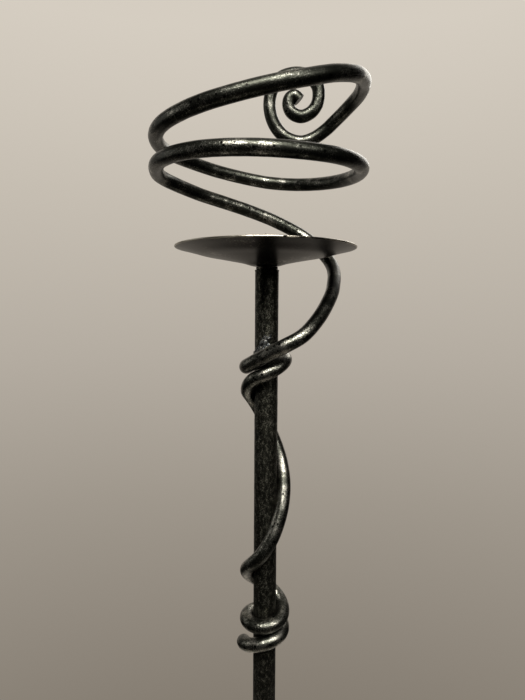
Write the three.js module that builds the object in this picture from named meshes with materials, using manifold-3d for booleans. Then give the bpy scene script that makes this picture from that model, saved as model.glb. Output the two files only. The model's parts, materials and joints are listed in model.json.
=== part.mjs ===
// A torchere candle stand: a slim steel stem on four scrolled legs, with a shallow drip pan and a
// candle spike on top. One round bar starts as a scroll at the back, coils twice round the candle,
// drops past the pan and knots itself round the stem. Millimetres, +Z up. The origin is on the
// floor, on the stem's axis; the scroll is at the back (+Y).
import * as THREE from "three";
import { mergeVertices } from "three/addons/utils/BufferGeometryUtils.js";
import Module from "manifold-3d";

const wasm = await Module();
wasm.setup();

// ---- Driving dimensions ----

const GAP = 0.3; // left between pieces that touch
const RIM_HEIGHT = 1085; // the pan's rim above the floor

const TUBE_DIAMETER = 15.4;
const TUBE_WALL = 1.5;
const TUBE_JOINT_HEIGHT = 540; // where the stem's two lengths screw together
const STEM_FOOT_HEIGHT = 60; // the stem's lower end above the floor

const PAN_RADIUS = 58.3;
const PAN_DEPTH = 11.1; // from the rim down to the flat middle
const PAN_THICKNESS = 1.2;
const PAN_FLAT_RADIUS = 8;
// The pan's shallow curve beyond its flat middle, as shares of its radius and of its depth.
const PAN_CURVE = [[0.25, 0.84], [0.4, 0.68], [0.55, 0.53], [0.7, 0.385], [0.85, 0.175]];
const PAN_SHIFT = -0.9; // the pan and its spike stand left of the stem
const NECK_DIAMETER = 14.2; // the shoulder that shows between the pan and the stem
const NECK_HEIGHT = 2.3;

const SPIKE_RISE = 9.5; // the spike's point above the rim
const SPIKE_DIAMETER = 4.6;
const SPIKE_COLLAR_DIAMETER = 13;
const SPIKE_COLLAR_HEIGHT = 2.4;
const SPIKE_THREAD_DIAMETER = 6;
const SPIKE_THREAD_LENGTH = 18;

const PLUG_LENGTH = 24; // the tapped plugs in the stem's ends
const STUD_DIAMETER = 8;
const STUD_LENGTH = 36;

const BAR_DIAMETER = 9.3; // the long bar that is scroll, cage and knots
const WRAP_GAP = 0.6; // between the bar and the stem that it wraps
const RIM_PASS_GAP = 0.4; // between the bar and the pan's rim
const CAGE_RADIUS = 64.5; // to the middle of the bar
const CAGE_SHIFT = -5.5; // the cage's middle stands left of the stem
const SCROLL_INSET = 14.5; // the scroll's plane, in from the back of the cage
const KNOT_WELD_RADIUS = 2.2;
const KNOT_SLANT_ANGLE = 27; // degrees off level, where the bar runs beside a weld
const UPPER_WELD_ANGLES = [826, 876];
const LOWER_WELD_ANGLES = [2084, 2146];

const HUB_DIAMETER = 22; // the sleeve that the stem stands in
const HUB_HEIGHT = 110;
const HUB_PLATE_THICKNESS = 4;
const BOLT_HEAD_WIDTH = 13; // across the flats
const BOLT_HEAD_HEIGHT = 5.3;
const WASHER_DIAMETER = 18;
const WASHER_THICKNESS = 1.6;
const THREAD_REACH = 20; // how far the base bolt goes into the stem's lower plug

const LEG_COUNT = 4;
const LEG_DIAMETER = 12;
const LEG_BEND_RADIUS = 55;
const LEG_SLOPE_ANGLE = 28; // degrees below level, on the way down to the foot
const LEG_REACH = 140; // from the stem's axis to where the foot's scroll begins
const LEG_UPRIGHT = 50; // the length that is welded to the hub
const FOOT_SCROLL_RADII = [22, 20, 17.5, 15, 12.5, 10.5, 9]; // each turns the same share
const FOOT_SCROLL_ANGLE = 405;
const TOP_SCROLL_RADII = [17, 15, 12.5, 10];
const TOP_SCROLL_ANGLE = 230;
const LEG_WELD_RADIUS = 1.6;
const LEG_WELD_LENGTH = 34;
const DISC_DIAMETER = 24;
const DISC_THICKNESS = 3.7;
const FELT_DIAMETER = 22;
const FELT_THICKNESS = 2;

// The scroll, from its cut tip outwards: places across and up from the scroll's middle, seen from
// the front, which stands at SCROLL_MIDDLE from the stem's axis and the rim.
const SCROLL_MIDDLE = [23.5, 109];
const SCROLL_OUTLINE = [
  [-0.5, 2.5], [-4.2, 5.5], [-7.5, 3.5], [-8.4, -1], [-6.1, -6.1], [0.5, -9], [8, -6], [12.2, -0.3],
  [13.4, 6], [12.4, 12.5], [7, 18.7], [-3.1, 21], [-14.7, 17.5], [-20.3, 9.5], [-22, -2.5],
  [-18.7, -14.3], [-10.7, -23.5], [0.3, -27], [9.6, -24.5],
];
// From the scroll to the cage: the turn, the spread beyond the cage's radius, and the height above
// the rim. A turn is in degrees clockwise from the right-hand side, seen from above.
const CAGE_LEAD = [
  [-45, 3.5, 90.5], [-38, 5.5, 96.3], [-29, 5, 100], [-19, 4, 102], [-4, 1.5, 101.7],
];
// The cage: the bar's height above the rim at every twelfth of a turn, on the way down.
const CAGE_START_ANGLE = 10;
const CAGE_STEP_ANGLE = 30;
const CAGE_HEIGHTS = [
  100, 91.5, 80.5, 72, 67.5, 66, 65.5, 65, 61, 55.5, 52, 49.5, 47.5, 45.5, 44, 44.5, 46, 47, 46.5,
];
// From the cage down past the rim to the upper knot: the turn, the spread from the wrapped stem (0)
// to the pan's rim (1), and the height above the rim.
const DROP_ROUTE = [
  [577, 0.965, 42], [597, 0.875, 38], [617, 0.845, 33], [637, 0.9, 26], [658, 0.995, 13.5],
  [679, 0.958, -6], [700, 0.703, -24], [720, 0.514, -37.1], [741, 0.398, -47.8], [761, 0.331, -55.7],
  [781, 0.24, -61.4], [803, 0.116, -66.6],
];
// Each knot: the turn, the spread off the stem, and the height in bar diameters from the knot's
// middle. Between the knots the swag hangs, by its turn and its height below the rim.
const UPPER_KNOT_DROP = -78;
const UPPER_KNOT = [
  [828, 4, 0.78], [860, 2.8, 0.34], [900, 0.6, 0.11], [945, 0.2, 0.22], [990, 0, 0.52],
  [1080, 0, 0.66], [1170, 0, -0.22], [1215, 0, -0.72], [1260, 0, -1.55],
];
const SWAG = [
  [1305, 0, -100], [1350, 0, -116], [1440, 0, -156.5], [1530, 0, -195.5], [1620, 0, -215],
  [1710, 0, -231],
];
const KNOT_STEP_ANGLE = 15; // between the points that the knots are drawn through
const LOWER_KNOT_DROP = -250;
const LOWER_KNOT = [
  [1800, 0, 0.8], [1890, 0, 0.27], [1980, 0, 0.21], [2070, 0, 0.05], [2160, 0, -0.48],
  [2250, 0, -0.97], [2340, 2.1, -1.64],
];

// ---- Sizes worked out from them ----

const TUBE_RADIUS = TUBE_DIAMETER / 2;
const TUBE_BORE = TUBE_RADIUS - TUBE_WALL;
const BAR_RADIUS = BAR_DIAMETER / 2;
const WRAP_RADIUS = TUBE_RADIUS + WRAP_GAP + BAR_RADIUS;
const RIM_PASS_RADIUS = PAN_RADIUS + RIM_PASS_GAP + BAR_RADIUS;
const PAN_FLOOR = RIM_HEIGHT - PAN_DEPTH; // the sheet's middle surface, at the flat
const STEM_TOP = PAN_FLOOR - PAN_THICKNESS / 2 - NECK_HEIGHT;
const HUB_RADIUS = HUB_DIAMETER / 2;
const HUB_BOTTOM = STEM_FOOT_HEIGHT;
const LEG_RADIUS = LEG_DIAMETER / 2;
const LEG_LINE = HUB_RADIUS + GAP + LEG_RADIUS; // the upright's distance from the stem's axis
const PEN_STEP = 7; // between the points that a leg's route is drawn through
const LEG_LOWEST = FELT_THICKNESS + GAP + DISC_THICKNESS + GAP + LEG_RADIUS;

const radians = THREE.MathUtils.degToRad;

// ---- Materials ----

const material = (color, roughness, metalness) =>
  new THREE.MeshStandardMaterial({ color, roughness, metalness });
const AGED_BAR = material("#3b3833", 0.42, 0.85);
const AGED_TUBE = material("#2f2b25", 0.55, 0.8);
const PAN_STEEL = material("#4a453e", 0.45, 0.8);
const WELD_METAL = material("#45403a", 0.6, 0.8);
const ZINC_STEEL = material("#8d8f90", 0.4, 0.9);
const FELT = material("#2a2826", 0.95, 0);

// ---- Shared shapes ----

/** A solid of revolution about Z through [radius, height] points, in order round its section. */
function revolved(points, segments) {
  const outline = points.map(([radius, height]) => new THREE.Vector2(radius, height));
  return new THREE.LatheGeometry(outline, segments).rotateX(Math.PI / 2);
}

/** A ring or tube: the outline goes round its wall and closes on itself. */
function sleeve(inner, outer, bottom, top, segments = 24) {
  const wall = [[inner, bottom], [outer, bottom], [outer, top], [inner, top], [inner, bottom]];
  return revolved(wall, segments);
}

/** A plain upright cylinder on the stem's axis. */
function rod(radius, bottom, top) {
  const cylinder = new THREE.CylinderGeometry(radius, radius, top - bottom, 24);
  return cylinder.rotateX(Math.PI / 2).translate(0, 0, (bottom + top) / 2);
}

/** A round bar along a curve, with flat cut ends. */
function roundBar(curve, radius, sides, step) {
  const section = new THREE.Shape();
  for (let side = 0; side < sides; side += 1) {
    const angle = (2 * Math.PI * side) / sides;
    if (side === 0) section.moveTo(radius, 0);
    else section.lineTo(radius * Math.cos(angle), radius * Math.sin(angle));
  }
  section.closePath();
  const steps = Math.round(curve.getLength() / step);
  return new THREE.ExtrudeGeometry(section, { steps, bevelEnabled: false, extrudePath: curve });
}

/** A closed mesh as a solid that can be joined and cut. */
function solid(geometry) {
  const plain = geometry.clone();
  plain.deleteAttribute("normal");
  plain.deleteAttribute("uv");
  const merged = mergeVertices(plain, 1e-4);
  return new wasm.Manifold(new wasm.Mesh({
    numProp: 3,
    vertProperties: new Float32Array(merged.attributes.position.array),
    triVerts: new Uint32Array(merged.index.array),
  }));
}

/** The geometry of a joined or cut solid. */
function surface(body) {
  const mesh = body.getMesh();
  const geometry = new THREE.BufferGeometry();
  geometry.setAttribute("position", new THREE.BufferAttribute(mesh.vertProperties, 3));
  geometry.setIndex(new THREE.BufferAttribute(mesh.triVerts, 1));
  return geometry;
}

const stand = new THREE.Group();

/** Adds one named piece to the stand, or to a group in it. */
function piece(name, geometry, finish, parent = stand) {
  const mesh = new THREE.Mesh(geometry, finish);
  mesh.name = name;
  parent.add(mesh);
}

// ---- The long bar ----

/** A place at a clockwise turn, a radius and a height above the rim, about a vertical axis. */
function around([turn, radius, height], axisX = 0) {
  const angle = radians(-turn);
  return new THREE.Vector3(
    axisX + radius * Math.cos(angle),
    radius * Math.sin(angle),
    RIM_HEIGHT + height,
  );
}

/** Hand-set stations of turn, radius and height, made closer and even. */
function eased(stations, spacing) {
  const smooth = new THREE.CatmullRomCurve3(
    stations.map((station) => new THREE.Vector3(...station)),
    false,
    "catmullrom",
  );
  const count = Math.round((stations.at(-1)[0] - stations[0][0]) / spacing);
  return smooth.getPoints(count).map((station) => station.toArray());
}

/** The stations of both knots and of the swag that hangs between them. */
function knotStations() {
  const knot = (middle) => ([turn, spread, rise]) =>
    [turn, WRAP_RADIUS + spread, middle + rise * BAR_DIAMETER];
  return eased([
    ...UPPER_KNOT.map(knot(UPPER_KNOT_DROP)),
    ...SWAG.map(([turn, spread, height]) => [turn, WRAP_RADIUS + spread, height]),
    ...LOWER_KNOT.map(knot(LOWER_KNOT_DROP)),
  ], KNOT_STEP_ANGLE);
}

/** The bar's whole route, from the scroll's tip to the end of the lower knot. */
function barRoute() {
  const [middleX, middleZ] = SCROLL_MIDDLE;
  const scroll = SCROLL_OUTLINE.map(([x, z]) =>
    new THREE.Vector3(middleX + x, CAGE_RADIUS - SCROLL_INSET, RIM_HEIGHT + middleZ + z));
  const cage = eased([
    ...CAGE_LEAD.map(([turn, spread, height]) => [turn, CAGE_RADIUS + spread, height]),
    ...CAGE_HEIGHTS.map((height, index) =>
      [CAGE_START_ANGLE + index * CAGE_STEP_ANGLE, CAGE_RADIUS, height]),
  ], CAGE_STEP_ANGLE / 2).map((station) => around(station, CAGE_SHIFT));
  const drop = DROP_ROUTE.map(([turn, spread, height]) =>
    around([turn, THREE.MathUtils.lerp(WRAP_RADIUS, RIM_PASS_RADIUS, spread), height]));
  const knots = knotStations().map((station) => around(station));
  return new THREE.CatmullRomCurve3([...scroll, ...cage, ...drop, ...knots], false, "centripetal");
}

/** The least gap between a bar's surface and itself, away from its neighbouring stretch. */
function leastGap(curve, diameter) {
  const places = curve.getSpacedPoints(Math.round(curve.getLength()));
  const apart = Math.ceil(diameter * 2.5);
  let least = Infinity;
  for (let first = 0; first < places.length; first += 1) {
    for (let second = first + apart; second < places.length; second += 1) {
      least = Math.min(least, places[first].distanceTo(places[second]));
    }
  }
  return least - diameter;
}

/** Prints a bar's length and the least gap that it leaves to itself. */
function report(name, curve, diameter) {
  const length = curve.getLength().toFixed(0);
  const gap = leastGap(curve, diameter).toFixed(2);
  console.log(`${name}: ${length} mm long, least gap to itself ${gap} mm`);
}

// ---- The candle's place: pan, spike and the plug that they screw into ----

/** The pan: a shallow dish of thin sheet with a flat middle, a round edge and a hole. */
function dripPan() {
  const half = PAN_THICKNESS / 2;
  const hole = SPIKE_THREAD_DIAMETER / 2 + GAP;
  const middle = [[hole, 1], [PAN_FLAT_RADIUS, 1]];
  const curve = PAN_CURVE.map(([share, depth]) => [share * PAN_RADIUS, depth]);
  const sheet = [...middle, ...curve, [PAN_RADIUS - half, 0]];
  const face = (side) => sheet.map(([radius, depth]) =>
    [radius, RIM_HEIGHT - depth * PAN_DEPTH + side * half]);
  const section = [...face(-1), [PAN_RADIUS, RIM_HEIGHT], ...face(1).reverse()];
  return revolved([...section, section[0]], 40).translate(PAN_SHIFT, 0, 0);
}

/** The spike: a point, a collar that clamps the pan, and a screwed shank below it. */
function candleSpike() {
  const seat = PAN_FLOOR + PAN_THICKNESS / 2 + GAP;
  const collarTop = seat + SPIKE_COLLAR_HEIGHT;
  const tip = RIM_HEIGHT + SPIKE_RISE;
  const shank = SPIKE_THREAD_DIAMETER / 2;
  return revolved([
    [0, seat - SPIKE_THREAD_LENGTH], [shank, seat - SPIKE_THREAD_LENGTH], [shank, seat],
    [SPIKE_COLLAR_DIAMETER / 2, seat], [SPIKE_COLLAR_DIAMETER / 2, collarTop],
    [SPIKE_DIAMETER / 2, collarTop], [0, tip],
  ], 24).translate(PAN_SHIFT, 0, 0);
}

/** The plug in the stem's top end; its shoulder is the neck, and its hole stands under the spike. */
function panPlug() {
  const bottom = STEM_TOP - PLUG_LENGTH;
  const under = STEM_TOP + GAP;
  const top = PAN_FLOOR - PAN_THICKNESS / 2 - GAP;
  const body = revolved([
    [0, bottom], [TUBE_BORE - GAP, bottom], [TUBE_BORE - GAP, under], [NECK_DIAMETER / 2, under],
    [NECK_DIAMETER / 2, top], [0, top],
  ], 24);
  const hole = rod(SPIKE_THREAD_DIAMETER / 2 + GAP, bottom - 1, top + 1).translate(PAN_SHIFT, 0, 0);
  return surface(solid(body).subtract(solid(hole)));
}

// ---- The stem: two tubes, screwed together end to end ----

/** A tapped plug inside one of the stem's ends. */
function stemPlug(bottom) {
  return sleeve(STUD_DIAMETER / 2 + GAP, TUBE_BORE - GAP, bottom, bottom + PLUG_LENGTH);
}

function buildStem() {
  const half = GAP / 2;
  const upper = sleeve(TUBE_BORE, TUBE_RADIUS, TUBE_JOINT_HEIGHT + half, STEM_TOP);
  const lower = sleeve(TUBE_BORE, TUBE_RADIUS, STEM_FOOT_HEIGHT, TUBE_JOINT_HEIGHT - half);
  const reach = STUD_LENGTH / 2;
  const stud = rod(STUD_DIAMETER / 2, TUBE_JOINT_HEIGHT - reach, TUBE_JOINT_HEIGHT + reach);
  piece("upper_stem", upper, AGED_TUBE);
  piece("lower_stem", lower, AGED_TUBE);
  piece("upper_joint_plug", stemPlug(TUBE_JOINT_HEIGHT + half), ZINC_STEEL);
  piece("lower_joint_plug", stemPlug(TUBE_JOINT_HEIGHT - half - PLUG_LENGTH), ZINC_STEEL);
  piece("joint_stud", stud, ZINC_STEEL);
  piece("stem_foot_plug", stemPlug(STEM_FOOT_HEIGHT), ZINC_STEEL);
}

// ---- Weld beads on the long bar ----

/** A bead in the crevice between the stem and the knotted bar, above (1) or below (-1) the bar. */
function knotWeld([from, to], side) {
  const reach = TUBE_RADIUS + GAP + KNOT_WELD_RADIUS;
  const apart = BAR_RADIUS + GAP + KNOT_WELD_RADIUS;
  const places = knotStations()
    .filter(([turn]) => turn >= from && turn <= to)
    .map(([turn, radius, height]) => {
      const climb = Math.sqrt(Math.max(apart ** 2 - (radius - reach) ** 2, 0));
      return around([turn, reach, height + (side * climb) / Math.cos(radians(KNOT_SLANT_ANGLE))]);
    });
  return roundBar(new THREE.CatmullRomCurve3(places), KNOT_WELD_RADIUS, 8, 3);
}

// ---- The base: hub, legs and feet ----

/** A path drawn in the leg's upright plane, by strokes of a length and the angle they turn. */
function penned(start, heading, strokes) {
  const places = [];
  const at = start.clone();
  let angle = heading;
  for (const [length, sweep] of strokes) {
    const count = Math.round(length / PEN_STEP);
    for (let index = 0; index < count; index += 1) {
      angle += sweep / count / 2;
      at.x += (Math.cos(angle) * length) / count;
      at.z += (Math.sin(angle) * length) / count;
      angle += sweep / count / 2;
      places.push(at.clone());
    }
  }
  return places;
}

/** Strokes of one scroll: each radius turns an equal share of the sweep, in degrees. */
function scrollStrokes(radii, sweep) {
  const share = radians(sweep) / radii.length;
  return radii.map((radius) => [radius * Math.abs(share), share]);
}

/** One leg, in the XZ plane: it hangs on the hub, bends out and ends in a scroll on the floor. */
function legRoute() {
  const slope = radians(LEG_SLOPE_ANGLE);
  const bend = Math.PI / 2 - slope;
  const footRadius = FOOT_SCROLL_RADII[0];
  const footStart = LEG_LOWEST + footRadius * (1 - Math.cos(slope));
  const bendEnd = LEG_LINE + LEG_BEND_RADIUS * (1 - Math.cos(bend));
  const straight = (LEG_REACH - bendEnd) / Math.cos(slope);
  const bendTop = footStart + straight * Math.sin(slope) + LEG_BEND_RADIUS * Math.sin(bend);
  const top = new THREE.Vector3(LEG_LINE, 0, bendTop + LEG_UPRIGHT);
  const up = penned(top, Math.PI / 2, scrollStrokes(TOP_SCROLL_RADII, -TOP_SCROLL_ANGLE));
  const down = penned(top, -Math.PI / 2, [
    [LEG_UPRIGHT, 0],
    [LEG_BEND_RADIUS * bend, bend],
    [straight, 0],
    ...scrollStrokes(FOOT_SCROLL_RADII, FOOT_SCROLL_ANGLE),
  ]);
  const curve = new THREE.CatmullRomCurve3([...up.reverse(), top, ...down], false, "centripetal");
  return { curve, bendTop, foot: LEG_REACH + footRadius * Math.sin(slope) };
}

function buildBase() {
  const { curve, bendTop, foot } = legRoute();
  const hubTop = HUB_BOTTOM + HUB_HEIGHT;
  piece("base_hub", sleeve(TUBE_RADIUS + GAP, HUB_RADIUS, HUB_BOTTOM, hubTop), AGED_TUBE);
  const plateTop = HUB_BOTTOM - GAP;
  const plateBottom = plateTop - HUB_PLATE_THICKNESS;
  piece("hub_plate", sleeve(STUD_DIAMETER / 2 + GAP, HUB_RADIUS, plateBottom, plateTop), AGED_TUBE);
  const washerTop = plateBottom - GAP;
  const washerBottom = washerTop - WASHER_THICKNESS;
  const washer = sleeve(STUD_DIAMETER / 2 + GAP, WASHER_DIAMETER / 2, washerBottom, washerTop);
  piece("base_washer", washer, ZINC_STEEL);
  piece("base_bolt", baseBolt(washerBottom - GAP), ZINC_STEEL);

  const leg = roundBar(curve, LEG_RADIUS, 10, 8);
  for (let index = 0; index < LEG_COUNT; index += 1) {
    const side = new THREE.Group();
    side.rotation.z = radians((index + 0.5) * (360 / LEG_COUNT));
    stand.add(side);
    const number = index + 1;
    piece(`leg_${number}`, leg.clone(), AGED_BAR, side);
    piece(`leg_weld_${number}_left`, legWeld(1, bendTop), WELD_METAL, side);
    piece(`leg_weld_${number}_right`, legWeld(-1, bendTop), WELD_METAL, side);
    piece(`foot_disc_${number}`, footDisc(foot), AGED_TUBE, side);
    piece(`foot_felt_${number}`, footFelt(foot), FELT, side);
  }
}

/** The hexagon bolt that pulls the stem down into the hub, its head's top at the given height. */
function baseBolt(headTop) {
  const shank = rod(STUD_DIAMETER / 2, headTop - BOLT_HEAD_HEIGHT / 2, STEM_FOOT_HEIGHT + THREAD_REACH);
  const corner = BOLT_HEAD_WIDTH / Math.sqrt(3);
  const head = new THREE.CylinderGeometry(corner, corner, BOLT_HEAD_HEIGHT, 6);
  head.rotateX(Math.PI / 2).translate(0, 0, headTop - BOLT_HEAD_HEIGHT / 2);
  return surface(solid(shank).add(solid(head)));
}

/** A bead in the crevice between the hub and one side of a leg's upright. */
function legWeld(side, bendTop) {
  const fromHub = HUB_RADIUS + GAP + LEG_WELD_RADIUS;
  const fromLeg = LEG_RADIUS + GAP + LEG_WELD_RADIUS;
  const out = (fromHub ** 2 - fromLeg ** 2 + LEG_LINE ** 2) / (2 * LEG_LINE);
  const across = Math.sqrt(fromHub ** 2 - out ** 2);
  const bead = new THREE.CapsuleGeometry(LEG_WELD_RADIUS, LEG_WELD_LENGTH, 3, 8);
  return bead.rotateX(Math.PI / 2).translate(out, side * across, bendTop + LEG_UPRIGHT / 2);
}

/** The steel disc that a foot stands on. */
function footDisc(foot) {
  const bottom = FELT_THICKNESS + GAP;
  return rod(DISC_DIAMETER / 2, bottom, bottom + DISC_THICKNESS).translate(foot, 0, 0);
}

/** The felt pad under a foot's disc. */
function footFelt(foot) {
  return rod(FELT_DIAMETER / 2, 0, FELT_THICKNESS).translate(foot, 0, 0);
}

// ---- The whole stand ----

const route = barRoute();
report("cage_bar", route, BAR_DIAMETER);
report("leg", legRoute().curve, LEG_DIAMETER);
piece("cage_bar", roundBar(route, BAR_RADIUS, 10, 5), AGED_BAR);
piece("candle_spike", candleSpike(), PAN_STEEL);
piece("drip_pan", dripPan(), PAN_STEEL);
piece("pan_plug", panPlug(), AGED_TUBE);
piece("upper_knot_weld", knotWeld(UPPER_WELD_ANGLES, 1), WELD_METAL);
piece("lower_knot_weld", knotWeld(LOWER_WELD_ANGLES, -1), WELD_METAL);
buildStem();
buildBase();

export default stand;
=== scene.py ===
"""The looks of a torchere candle stand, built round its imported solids.

One round bar starts as a scroll at the back, coils twice round the candle, drops past the drip pan
and knots itself round the stem, which stands in a hub on four scrolled legs. Lengths in this file
are millimetres unless a name says otherwise, and become metres where a mesh is made. The origin is
on the floor, on the stem's axis, and +Z is up; the scroll is at the back (+Y).
"""

from __future__ import annotations

import functools
import json
import logging
import math
from collections.abc import Callable, Sequence
from dataclasses import dataclass, field
from enum import Enum
from typing import Any

import bmesh
import bpy
from mathutils import Matrix, Vector

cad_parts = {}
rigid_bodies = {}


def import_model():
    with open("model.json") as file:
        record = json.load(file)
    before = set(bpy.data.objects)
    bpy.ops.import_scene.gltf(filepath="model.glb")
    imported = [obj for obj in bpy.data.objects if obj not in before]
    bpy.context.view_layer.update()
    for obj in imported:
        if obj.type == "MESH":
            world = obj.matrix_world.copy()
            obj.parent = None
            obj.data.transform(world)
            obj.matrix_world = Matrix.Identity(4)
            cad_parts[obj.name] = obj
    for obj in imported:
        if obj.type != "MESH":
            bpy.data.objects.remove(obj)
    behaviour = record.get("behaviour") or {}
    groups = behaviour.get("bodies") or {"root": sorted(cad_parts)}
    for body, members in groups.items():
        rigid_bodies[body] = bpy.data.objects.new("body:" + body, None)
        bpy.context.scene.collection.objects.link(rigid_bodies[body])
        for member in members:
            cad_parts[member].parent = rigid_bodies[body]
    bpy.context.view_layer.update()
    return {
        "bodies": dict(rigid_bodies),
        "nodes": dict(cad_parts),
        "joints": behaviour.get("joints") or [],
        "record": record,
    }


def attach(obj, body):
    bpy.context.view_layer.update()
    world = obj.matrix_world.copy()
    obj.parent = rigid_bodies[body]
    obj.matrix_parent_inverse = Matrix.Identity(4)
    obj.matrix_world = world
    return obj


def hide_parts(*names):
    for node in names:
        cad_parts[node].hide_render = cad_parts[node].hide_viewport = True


LOG = logging.getLogger("candle_stand")
METRES = 0.001  # one millimetre in the frame's metres
BODY = "root"
GAP = 0.3  # left between the solids of pieces that touch
ON_AXIS = 1e-6  # a smaller radius than this is on the axis
MATH, RANGE, NOISE = "ShaderNodeMath", "ShaderNodeMapRange", "ShaderNodeTexNoise"

RIM_HEIGHT = 1085.0  # where the pan's rim is
PAN_RADIUS = 58.3
TUBE_RADIUS = 7.7

Station = tuple[float, float, float]
Outline = list[tuple[float, float]]
Adder = Callable[..., bpy.types.Node]  # add_node for one tree


class Slot(Enum):
    """The record's material slots."""

    BAR = "bar"
    STEM = "stem"
    PAN = "pan"
    NECK = "neck"
    WELD = "weld"
    ZINC = "zinc"
    FELT = "felt"


# ---- Nodes and colours ----


def linear(colour: str, alpha: float = 1.0) -> tuple[float, float, float, float]:
    """Turns an sRGB hex colour into the linear one that a shader takes.

    Args:
        colour: Six hex digits after a hash.
        alpha: The fourth number.

    Returns:
        Red, green, blue and alpha.
    """
    shares = [int(colour[at : at + 2], 16) / 255 for at in (1, 3, 5)]
    made = [c / 12.92 if c <= 0.04045 else ((c + 0.055) / 1.055) ** 2.4 for c in shares]
    return (made[0], made[1], made[2], alpha)


def add_node(
    tree: bpy.types.NodeTree, kind: str, inputs: dict[str | int, Any] | None = None, **settings: Any
) -> bpy.types.Node:
    """Adds one node to a tree, with its settings, its values and its links.

    Args:
        tree: The tree that gets the node.
        kind: The node's type.
        inputs: For each input by name or number a value, an output, or a node's first output.
        **settings: The node's own properties.

    Returns:
        The new node.
    """
    node = tree.nodes.new(kind)
    for name, value in settings.items():
        setattr(node, name, value)
    for key, value in (inputs or {}).items():
        if isinstance(value, bpy.types.Node):
            value = value.outputs[0]
        if isinstance(value, bpy.types.NodeSocket):
            tree.links.new(value, node.inputs[key])
        else:
            node.inputs[key].default_value = value
    return node


def paint_ramp(ramp: bpy.types.ColorRamp, stops: Sequence[tuple[float, str]]) -> None:
    """Sets a colour ramp's stops, each a place from 0 to 1 and a hex colour."""
    while len(ramp.elements) < len(stops):
        ramp.elements.new(0.5)
    for element, (place, colour) in zip(ramp.elements, stops):
        element.position = place
        element.color = linear(colour)


def texture_scale(size: float, share: float = 1.0) -> float:
    """The scale of a texture whose features are about a size across, times a share."""
    return share / (size * METRES)


def start_material(name: str) -> tuple[bpy.types.Material, Adder, bpy.types.NodeSocket]:
    """Makes a material with an empty tree.

    Args:
        name: What the real material is.

    Returns:
        The material, what adds a node to it, and its Object coordinates.
    """
    material = bpy.data.materials.new(name)
    material.use_nodes = True
    material.node_tree.nodes.clear()
    add = functools.partial(add_node, material.node_tree)
    return material, add, add("ShaderNodeTexCoord").outputs["Object"]


def close_material(
    add: Adder, look: dict[str, Any], height: Any, relief: float, strength: float = 1.0
) -> None:
    """Ends a material in one shader over a relief.

    Args:
        add: Adds a node to the material.
        look: The shader's own values and links.
        height: What gives the relief its pattern.
        relief: How deep the pattern goes.
        strength: How strongly it shows.
    """
    deep = {"Strength": strength, "Distance": relief * METRES, "Height": height}
    shader = add("ShaderNodeBsdfPrincipled", {**look, "Normal": add("ShaderNodeBump", deep)})
    add("ShaderNodeOutputMaterial", {"Surface": shader})


# ---- Finishes ----


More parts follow.
